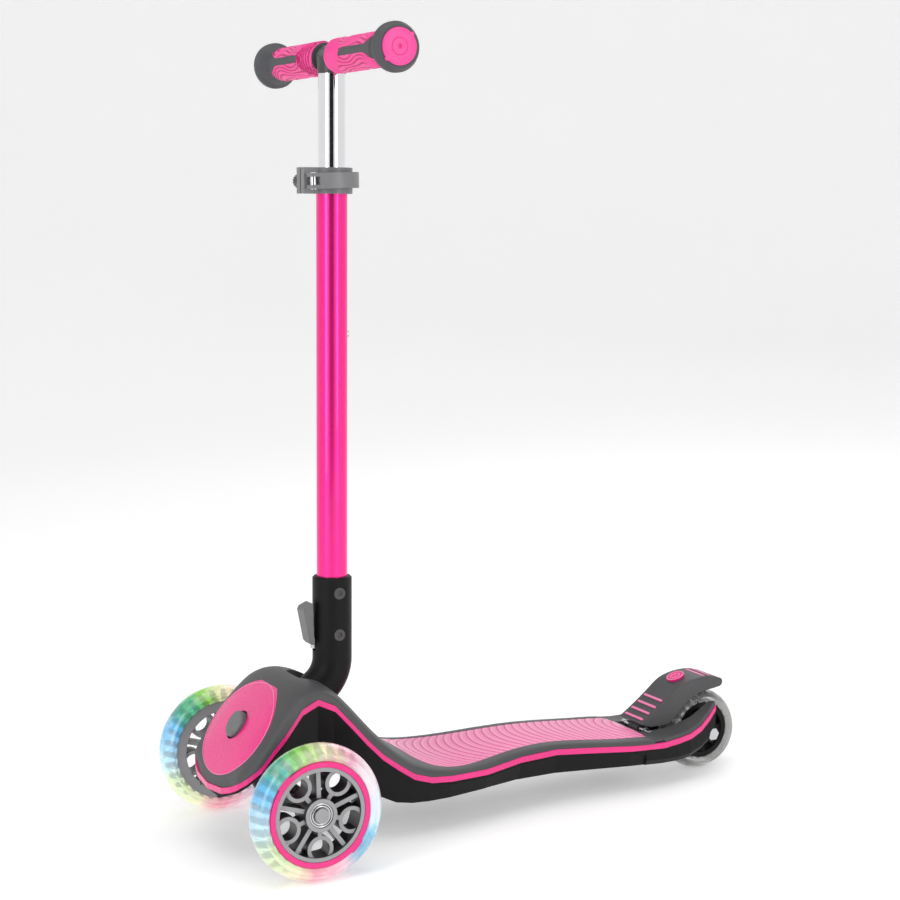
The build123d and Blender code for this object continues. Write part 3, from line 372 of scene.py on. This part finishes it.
def lathe(name, hub, profile, count, look, body, grow=None):
    """A closed form turned about an axle along X. The profile is (x, radius) pairs, whose
    ends meet unless they lie on the axle; grow changes a radius by its angle."""
    points, faces = [], []
    for step in range(count):
        angle = 2 * math.pi * step / count
        for index, (x, radius) in enumerate(profile):
            r = max(0.0, radius + (grow(angle, index) if grow else 0.0))
            points.append((hub[0] + x, hub[1] + r * math.cos(angle), hub[2] + r * math.sin(angle)))
    rows = len(profile)
    for step in range(count):
        after = (step + 1) % count
        for index in range(rows if profile[0][1] else rows - 1):
            beside = (index + 1) % rows
            faces.append(
                (step * rows + index, step * rows + beside, after * rows + beside,
                 after * rows + index)
            )
    made = mesh_piece(name, points, faces, look, body)
    made.modifiers.new("edges", "EDGE_SPLIT").split_angle = math.radians(50)
    return made


def tube_along(name, path, radius, look, body, closed=False, sides=8):
    """A round bead along a path of points."""
    points, faces = [], []
    count = len(path)
    for index, here in enumerate(path):
        before = path[(index - 1) % count] if closed or index else here
        after = path[(index + 1) % count] if closed or index < count - 1 else here
        along = (Vector(after) - Vector(before)).normalized()
        across = along.cross(Vector((0, 0, 1)))
        if across.length < 0.1:
            across = along.cross(Vector((1, 0, 0)))
        across.normalize()
        over = across.cross(along)
        for k in range(sides):
            angle = 2 * math.pi * k / sides
            outward = math.cos(angle) * across + math.sin(angle) * over
            points.append(Vector(here) + radius * outward)
    for index in range(count if closed else count - 1):
        after = (index + 1) % count
        for k in range(sides):
            other = (k + 1) % sides
            faces.append(
                (index * sides + k, after * sides + k, after * sides + other, index * sides + other)
            )
    if not closed:
        faces.append(tuple(range(sides)))
        faces.append(tuple(range((count - 1) * sides, count * sides)))
    return mesh_piece(name, points, faces, look, body)


BLOCK_FACES = (
    (0, 1, 2, 3), (4, 7, 6, 5), (0, 4, 5, 1), (1, 5, 6, 2), (2, 6, 7, 3), (3, 7, 4, 0)
)


def rim_teeth(name, hub, count, sides, root, tip, body):
    """Blocks round a rim: sides are their two places along the axle, and root and tip are
    the radius and half angle of their inner and outer corners."""
    points, faces = [], []
    for tooth in range(count):
        angle = 2 * math.pi * tooth / count
        for x in sides:
            for sign, (r, half) in ((-1, root), (1, root), (1, tip), (-1, tip)):
                turn = angle + sign * half
                points.append((hub[0] + x, hub[1] + r * math.cos(turn), hub[2] + r * math.sin(turn)))
        for quad in BLOCK_FACES:
            faces.append(tuple(tooth * 8 + corner for corner in quad))
    mesh_piece(name, points, faces, looks["black_nylon"], body, False)


def surface_of(name):
    """A ray-casting tree of a CAD node."""
    return BVHTree.FromObject(nodes[name], bpy.context.evaluated_depsgraph_get())


# ---------------------------------------------------------------- deck pad with its arcs
pad_tree = surface_of("deck_pad")
pad_low, pad_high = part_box("deck_pad")
rib_pitch, rib_bend, rib_height = 8.3 * mm, 68 * mm, 0.7 * mm
foot_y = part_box("brake_fender")[0][1] + 10 * mm


def pad_top(x, y):
    """Height of the pad's top at a point, or None off the pad."""
    hit = pad_tree.ray_cast(Vector((x, y, pad_high[2] + 0.05)), Vector((0, 0, -1)))
    return hit[0].z if hit[0] else None


def pad_edge(y):
    """The pad's half width at y."""
    inside, outside = 0.0, pad_high[0] + 2 * mm
    for _ in range(16):
        middle = (inside + outside) / 2
        if pad_top(middle, y) is None:
            outside = middle
        else:
            inside = middle
    return inside


def rib_share(x, y):
    """Height of the arcs at a point, from 0 in a groove to 1 on a crest."""
    arc = y - rib_bend + math.sqrt(max(rib_bend ** 2 - x ** 2, 0.0)) - pad_low[1]
    round_foot = math.hypot(x * 0.85, y - foot_y)
    ring = foot_y - pad_low[1] - round_foot
    near_foot = min(1.0, max(0.0, (75 * mm - round_foot) / (30 * mm)))
    place = arc * (1 - near_foot) + ring * near_foot
    phase = (place / rib_pitch) % 1.0
    fade = 1.0 if round_foot > 24 * mm else 0.0
    if phase < 0.16:
        return 1 - fade * (0.5 + 0.5 * math.cos(math.pi * (phase - 0.08) / 0.08))
    return 1 - fade * 0.35 * (phase - 0.16) / 0.84


rows, columns = 560, 121
points, faces, shares = [], [], []
for row in range(rows):
    y = pad_low[1] + 0.2 * mm + (pad_high[1] - pad_low[1] - 0.4 * mm) * row / (rows - 1)
    edge = pad_edge(y) - 0.15 * mm
    for column in range(columns):
        share = 2 * column / (columns - 1) - 1
        x = edge * share
        z = pad_top(x, y)
        if z is None:
            z = pad_top(x * 0.98, y) or points[-1][2]
        rise = rib_share(x, y)
        shares.append(rise)
        rim = max(0.0, (abs(share) - 0.97) / 0.03)
        points.append((x, y, z - 0.55 * mm + rib_height * rise - 0.5 * mm * rim ** 2))
for row in range(rows - 1):
    for column in range(columns - 1):
        corner = row * columns + column
        faces.append((corner, corner + 1, corner + columns + 1, corner + columns))
for row in range(rows):
    for end in (0, columns - 1):
        x, y, z = points[row * columns + end]
        points.append((x, y, z - 1.2 * mm))
        shares.append(0.0)
under = rows * columns
for row in range(rows - 1):
    top, low = row * columns, under + 2 * row
    far = top + columns - 1
    faces.append((top, top + columns, low + 2, low))
    faces.append((far, low + 1, low + 3, far + columns))
    faces.append((low, low + 2, low + 3, low + 1))
last = (rows - 1) * columns
faces.append((*range(columns), under + 1, under))
faces.append((*range(last + columns - 1, last - 1, -1), under + 2 * rows - 2, under + 2 * rows - 1))
deck_mat = mesh_piece("deck_mat", points, faces, looks["pink_pad"], "deck")
# These rib heights drive the pad's painted groove shade and painted crest highlight.
height = deck_mat.data.attributes.new("height", "FLOAT", "POINT")
height.data.foreach_set("value", shares)
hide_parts("deck_pad")

# ---------------------------------------------------------------- nose oval's edge line
panel_tree = surface_of("nose_panel")
oval_low, oval_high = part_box("nose_panel")
oval_middle = [(a + b) / 2 for a, b in zip(oval_low, oval_high)]
half_x = (oval_high[0] - oval_low[0]) / 2 - 0.5 * mm
half_z = (oval_high[2] - oval_low[2]) / 2 - 0.5 * mm
edge_line = []
for step in range(120):
    angle = 2 * math.pi * step / 120
    x, z = half_x * math.cos(angle), oval_middle[2] + half_z * math.sin(angle)
    hit = panel_tree.ray_cast(Vector((x, oval_low[1] - 0.05, z)), Vector((0, 1, 0)))
    if hit[0]:
        edge_line.append(hit[0] + Vector((0, -0.1 * mm, 0)))
tube_along("nose_edge_line", edge_line, 0.45 * mm, looks["pink_ribs"], "deck", True)

# ---------------------------------------------------------------- wheels
for side, sign in (("left", 1), ("right", -1)):
    hub = centre(f"{side}_tyre")
    low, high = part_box(f"{side}_wheel_ring")
    outer = (high[2] - low[2]) / 2
    face_x = (high[0] if sign > 0 else low[0]) - hub[0]

    def tab(angle, index):
        """Two small tabs on opposite sides of the ring, on its outer points only."""
        if index not in (2, 3):
            return 0.0
        turn = (angle - math.radians(135)) % math.pi
        turn = min(turn, math.pi - turn)
        return 2.4 * mm * min(1.0, max(0.0, (math.radians(9) - turn) / math.radians(2.5)))

    profile = [
        (face_x - sign * 1.5 * mm, outer - 4.8 * mm),
        (face_x + sign * 0.5 * mm, outer - 4.8 * mm),
        (face_x + sign * 0.9 * mm, outer - 0.3 * mm),
        (face_x - sign * 0.2 * mm, outer + 0.2 * mm),
    ]
    ring = lathe(
        f"{side}_ring_with_tabs", hub, profile, 240, looks["pink_plastic"], f"{side}_wheel",
        tab,
    )
    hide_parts(f"{side}_wheel_ring")

    # The rim's teeth that the tyre is cast over.
    rim_teeth(
        f"{side}_rim_teeth", hub, 30, (-sign * 9.5 * mm, sign * 5.5 * mm), (46.2 * mm, 0.055),
        (49.6 * mm, 0.035), f"{side}_wheel",
    )

    # Raised rings on the bearing's shield, and the cap's turned face.
    cap_low, cap_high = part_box("axle_caps")
    cap_x = cap_high[0] if sign > 0 else cap_low[0]
    cap_hub = (cap_x, hub[1], hub[2])
    lathe(
        f"{side}_cap_face", cap_hub,
        [(-sign * 1.6 * mm, 0.0), (-sign * 1.6 * mm, 6.6 * mm), (-sign * 0.2 * mm, 6.3 * mm),
         (0, 5.6 * mm), (-sign * 0.5 * mm, 5.1 * mm), (-sign * 0.5 * mm, 4.2 * mm), (0.0, 3.8 * mm),
         (-sign * 0.2 * mm, 0.0)],
        64, looks["cap_metal"], "truck",
    )
    bearing_low, bearing_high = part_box(f"{side}_bearings")
    shield_x = bearing_high[0] if sign > 0 else bearing_low[0]
    lathe(
        f"{side}_bearing_shield", (shield_x, hub[1], hub[2]),
        [(0.0, 10.9 * mm), (sign * 0.25 * mm, 10.6 * mm), (sign * 0.25 * mm, 9.3 * mm),
         (-sign * 0.1 * mm, 9.0 * mm), (sign * 0.15 * mm, 8.6 * mm), (sign * 0.15 * mm, 7.0 * mm),
         (0.0, 6.7 * mm)],
        72, looks["steel"], f"{side}_wheel",
    )

rear_hub = centre("rear_tyre")
rim_teeth(
    "rear_rim_teeth", rear_hub, 22, (-9 * mm, 9 * mm), (27.5 * mm, 0.075), (31.0 * mm, 0.05),
    "rear_wheel",
)

# ---------------------------------------------------------------- grips
pads_low, pads_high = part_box("grip_pads")
bar_y = (pads_low[1] + pads_high[1]) / 2
bar_z = (pads_low[2] + pads_high[2]) / 2
grip_r = (pads_high[2] - pads_low[2]) / 2
pad_end = pads_high[0]


def finger(turn, along):
    """How far a point lies inside the dark finger that runs in from the flare, in metres."""
    tip, root = 0.34, 1.0
    half = 3.4 * mm + 9.0 * mm * max(0.0, (along - 0.80) / 0.20) ** 2
    across = half - abs(turn) * grip_r
    inward = (along - tip) * pad_span
    return min(across, inward)


pad_start = 14 * mm
pad_span = pad_end - pad_start
for side, sign in (("left", 1), ("right", -1)):
    around, along_count = 220, 150
    points, faces, kinds, grooves = [], [], [], []
    for i in range(along_count + 1):
        along = i / along_count
        x = sign * (pad_start + pad_span * along)
        for k in range(around):
            angle = 2 * math.pi * k / around
            turns = []
            for middle in (math.radians(175), math.radians(-5)):
                turn = (angle - middle + math.pi) % (2 * math.pi) - math.pi
                turns.append(finger(turn, along))
            inside = max(turns)
            contour = (
                -inside / (4.2 * mm)
                + 0.55 * math.sin(2 * angle + 9 * along)
                + 0.30 * math.sin(3 * angle - 14 * along + 1.0)
            )
            step = contour % 1.0
            ridge = min(1.0, step / 0.80) if step < 0.80 else (1.0 - step) / 0.20
            end = min(1.0, along / 0.03, (1 - along) / 0.03)
            if inside > 0:
                r = grip_r - 1.0 * mm
            else:
                r = grip_r - 1.2 * mm + 1.2 * mm * ridge
            r -= (1 - end) * 1.5 * mm
            # Faces at the bottom of each groove are marked for the painted shade.
            grooves.append(ridge < 0.30)
            points.append((x, bar_y + r * math.cos(angle), bar_z + r * math.sin(angle)))
    for i in range(along_count):
        for k in range(around):
            other = (k + 1) % around
            faces.append(
                (i * around + k, i * around + other, (i + 1) * around + other, (i + 1) * around + k)
            )
            along = (i + 0.5) / along_count
            angle = 2 * math.pi * (k + 0.5) / around
            inside = max(
                finger((angle - middle + math.pi) % (2 * math.pi) - math.pi, along)
                for middle in (math.radians(175), math.radians(-5))
            )
            kinds.append(1 if inside > 0 else 2 if grooves[i * around + k] else 0)
    faces.append(tuple(range(around)))
    faces.append(tuple(range(along_count * around, (along_count + 1) * around)))
    kinds += [0, 0]
    skin = mesh_piece(
        f"{side}_grip_skin", points, faces, looks["pink_rubber"], "t_bar"
    )
    skin.data.materials.append(looks["dark_rubber"])
    skin.data.materials.append(looks["deep_rubber"])
    for face, kind in zip(skin.data.polygons, kinds):
        face.material_index = kind
    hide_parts("grip_pads")

    disc_low, disc_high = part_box("end_discs")
    disc_x = disc_high[0] if sign > 0 else disc_low[0]
    disc_r = (disc_high[2] - disc_low[2]) / 2

    def notch(angle, index):
        """Two small notches in the disc's rim."""
        if index not in (1, 2):
            return 0.0
        turn = (angle - math.radians(40)) % math.pi
        turn = min(turn, math.pi - turn)
        return 1.3 * mm if turn < math.radians(6) else 0.0

    disc = lathe(
        f"{side}_end_disc", (disc_x, bar_y, bar_z),
        [(-sign * 1.9 * mm, 0.0), (-sign * 1.9 * mm, disc_r), (-sign * 0.5 * mm, disc_r),
         (0.0, disc_r - 0.9 * mm),
         (-sign * 0.1 * mm, 7.6 * mm), (-sign * 0.6 * mm, 7.3 * mm), (-sign * 0.6 * mm, 6.9 * mm),
         (-sign * 0.1 * mm, 6.6 * mm), (0.0, 2.0 * mm), (-sign * 1.5 * mm, 1.4 * mm),
         (-sign * 1.5 * mm, 0.0)],
        160, looks["pink_rubber"], "t_bar", notch,
    )
    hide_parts("end_discs")

# ---------------------------------------------------------------- rings on the brake's dot
dot_low, dot_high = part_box("brake_badge")
dot_tilt = math.radians(20)
dot_normal = Vector((0, -math.sin(dot_tilt), math.cos(dot_tilt)))
dot_up = Vector((0, math.cos(dot_tilt), math.sin(dot_tilt)))
dot_tree = surface_of("brake_badge")
dot_middle = Vector([(a + b) / 2 for a, b in zip(dot_low, dot_high)])
dot_top = dot_tree.ray_cast(dot_middle + dot_normal * 0.03, -dot_normal)[0]
for label, radius in (("outer", 8.4 * mm), ("inner", 4.6 * mm)):
    circle = [
        dot_top + radius * (math.cos(a) * Vector((1, 0, 0)) + math.sin(a) * dot_up)
        for a in (2 * math.pi * k / 64 for k in range(64))
    ]
    tube_along(
        f"brake_dot_{label}_ring", circle, 0.55 * mm, looks["pink_ribs"], "brake",
        True,
    )

# ---------------------------------------------------------------- springs and bumpers that give
def coil(middle, along, length, radius, turns):
    """The path of a coil spring's wire about a line through middle."""
    side = along.orthogonal().normalized()
    other = along.cross(side)
    count = 28 * turns
    path = []
    for k in range(count + 1):
        angle = 2 * math.pi * k / 28
        turned = math.cos(angle) * side + math.sin(angle) * other
        path.append(Vector(middle) + along * (k / count - 0.5) * length + radius * turned)
    return path


button_low, button_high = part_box("fold_button_spring")
for label, z in (("lower", button_low[2] + 3.2 * mm), ("upper", button_high[2] - 3.2 * mm)):
    middle = (0, (button_low[1] + button_high[1]) / 2, z)
    spring = tube_along(
        f"button_spring_{label}", coil(middle, Vector((0, 1, 0)), 2.3 * mm, 2.7 * mm, 3),
        0.3 * mm, looks["steel"], "column",
    )
    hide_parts("fold_button_spring")
    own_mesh(spring)

joint_axes = {j["name"]: j["axis"] for j in frame["record"]["behaviour"]["joints"]}
press = Vector(joint_axes["steering_lock_press"]).normalized()
lock_middle = Vector(centre("lock_spring"))
lock_coil = tube_along(
    "lock_coil", coil(lock_middle, press, 5 * mm, 5.2 * mm, 4), 0.4 * mm, looks["steel"], "deck",
)
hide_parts("lock_spring")
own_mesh(lock_coil)

bumper_low, bumper_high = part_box("steering_bumpers")
bumper_r, bumper_tall = 7 * mm, bumper_high[2] - bumper_low[2]
for side, sign in (("left", 1), ("right", -1)):
    hub = (sign * (bumper_high[0] - bumper_r), centre("steering_bumpers")[1])
    points, faces, turns, levels = [], [], 48, 14
    for level in range(levels + 1):
        share = level / levels
        waist = bumper_r * (1 - 0.10 * math.sin(2 * math.pi * share) ** 2)
        for k in range(turns):
            angle = 2 * math.pi * k / turns
            points.append(
                (
                    hub[0] + waist * math.cos(angle),
                    hub[1] + waist * math.sin(angle),
                    bumper_low[2] + bumper_tall * share,
                )
            )
    for level in range(levels):
        for k in range(turns):
            other = (k + 1) % turns
            faces.append(
                (level * turns + k, level * turns + other, (level + 1) * turns + other,
                 (level + 1) * turns + k)
            )
    faces.append(tuple(range(turns)))
    faces.append(tuple(range(levels * turns, (levels + 1) * turns)))
    bumper = mesh_piece(f"{side}_bumper", points, faces, looks["rubber"], "deck")
    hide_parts("steering_bumpers")
    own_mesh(bumper)

# ---------------------------------------------------------------- stage, light and camera
def bowl(name, flat, top, height):
    """A plain floor that rises into a backdrop all round."""
    profile = [(0.0, 0.0), (flat, 0.0)]
    for step in range(1, 25):
        angle = math.pi / 2 * step / 24
        profile.append((flat + (top - flat) * math.sin(angle), height * (1 - math.cos(angle))))
    points, faces, count = [], [], 96
    for step in range(count):
        angle = 2 * math.pi * step / count
        points += [(r * math.cos(angle), r * math.sin(angle), z) for r, z in profile]
    rows = len(profile)
    for step in range(count):
        after = (step + 1) % count
        for index in range(rows - 1):
            faces.append(
                (step * rows + index, after * rows + index, after * rows + index + 1,
                 step * rows + index + 1)
            )
    mesh = bpy.data.meshes.new(name)
    mesh.from_pydata(points, [], faces)
    for face in mesh.polygons:
        face.use_smooth = True
    made = bpy.data.objects.new(name, mesh)
    bpy.context.scene.collection.objects.link(made)
    return made


floor = bowl("floor", 2.6, 5.0, 3.2)
floor_look, floor_tree, floor_shader = blank("floor")
floor_noise = node(floor_tree, "ShaderNodeTexNoise", Scale=3.0, Detail=2.0)
floor_tree.links.new(object_coordinates(floor_tree), floor_noise.inputs["Vector"])
floor_tree.links.new(
    mixed(floor_tree, floor_noise.outputs[0], (0.86, 0.86, 0.865), (0.88, 0.88, 0.88)),
    floor_shader.inputs["Base Color"],
)
floor_shader.inputs["Roughness"].default_value = 0.9
floor_shader.inputs["Emission Color"].default_value = (1.0, 1.0, 1.0, 1)
floor_shader.inputs["Emission Strength"].default_value = 0.30
floor.data.materials.append(floor_look)


def softbox(name, place, target, width, height, power):
    """A rectangular area light at place that faces the target."""
    light = bpy.data.lights.new(name, "AREA")
    light.shape, light.size, light.size_y, light.energy = "RECTANGLE", width, height, power
    made = bpy.data.objects.new(name, light)
    made.location = place
    made.rotation_euler = (Vector(target) - Vector(place)).to_track_quat("-Z", "Y").to_euler()
    bpy.context.scene.collection.objects.link(made)
    return made


azimuth, elevation, roll = math.radians(63.25), math.radians(7.63), math.radians(-1.21)
lit_point = (0, 0, 0.3)
softbox("top_light", (0.4, -0.3, 2.6), lit_point, 2.4, 2.4, 28)
softbox("left_strip", (1.0, -2.2, 1.1), lit_point, 0.7, 2.2, 15)
softbox("right_strip", (2.3, 0.6, 1.1), lit_point, 0.7, 2.2, 15)
softbox("back_light", (-1.6, 1.6, 1.8), lit_point, 1.6, 1.6, 10)

# A dark flag beyond the camera gives the tubes their dark middle line; only reflections see it.
flag = bpy.data.objects.new("dark_flag", bpy.data.meshes.new("dark_flag"))
flag.data.from_pydata(
    [(-0.75, 0, -0.6), (0.75, 0, -0.6), (0.75, 0, 1.1), (-0.75, 0, 1.1)], [], [(0, 1, 2, 3)]
)
flag.location = (2.30, -1.16, 0.6)
flag.rotation_euler = (0, 0, azimuth)
flag_look, flag_tree, flag_shader = blank("dark_flag")
flag_noise = node(flag_tree, "ShaderNodeTexNoise", Scale=40.0, Detail=2.0)
flag_tree.links.new(
    mixed(flag_tree, flag_noise.outputs[0], (0.004, 0.004, 0.004), (0.008, 0.008, 0.008)),
    flag_shader.inputs["Base Color"],
)
flag_shader.inputs["Roughness"].default_value = 1.0
flag.data.materials.append(flag_look)
flag.visible_camera = flag.visible_diffuse = flag.visible_shadow = False
flag.visible_transmission = False
bpy.context.scene.collection.objects.link(flag)

world = bpy.data.worlds.new("studio")
world.use_nodes = True
world.node_tree.nodes["Background"].inputs["Color"].default_value = (1, 1, 1, 1)
world.node_tree.nodes["Background"].inputs["Strength"].default_value = 0.30
bpy.context.scene.world = world
bpy.context.scene.view_settings.view_transform = "Standard"

towards = Vector(
    (
        math.sin(azimuth) * math.cos(elevation),
        -math.cos(azimuth) * math.cos(elevation),
        math.sin(elevation),
    )
)
right = Vector((math.cos(azimuth), math.sin(azimuth), 0))
up = towards.cross(right)
across = math.cos(roll) * right + math.sin(roll) * up
above = -math.sin(roll) * right + math.cos(roll) * up
camera_data = bpy.data.cameras.new("camera")
camera_data.lens, camera_data.sensor_width = 80.36, 36.0
camera = bpy.data.objects.new("camera", camera_data)
camera.matrix_world = Matrix.Translation((1.648, -0.859, 0.590)) @ Matrix(
    (across, above, towards)
).transposed().to_4x4()
bpy.context.scene.collection.objects.link(camera)
bpy.context.scene.camera = camera
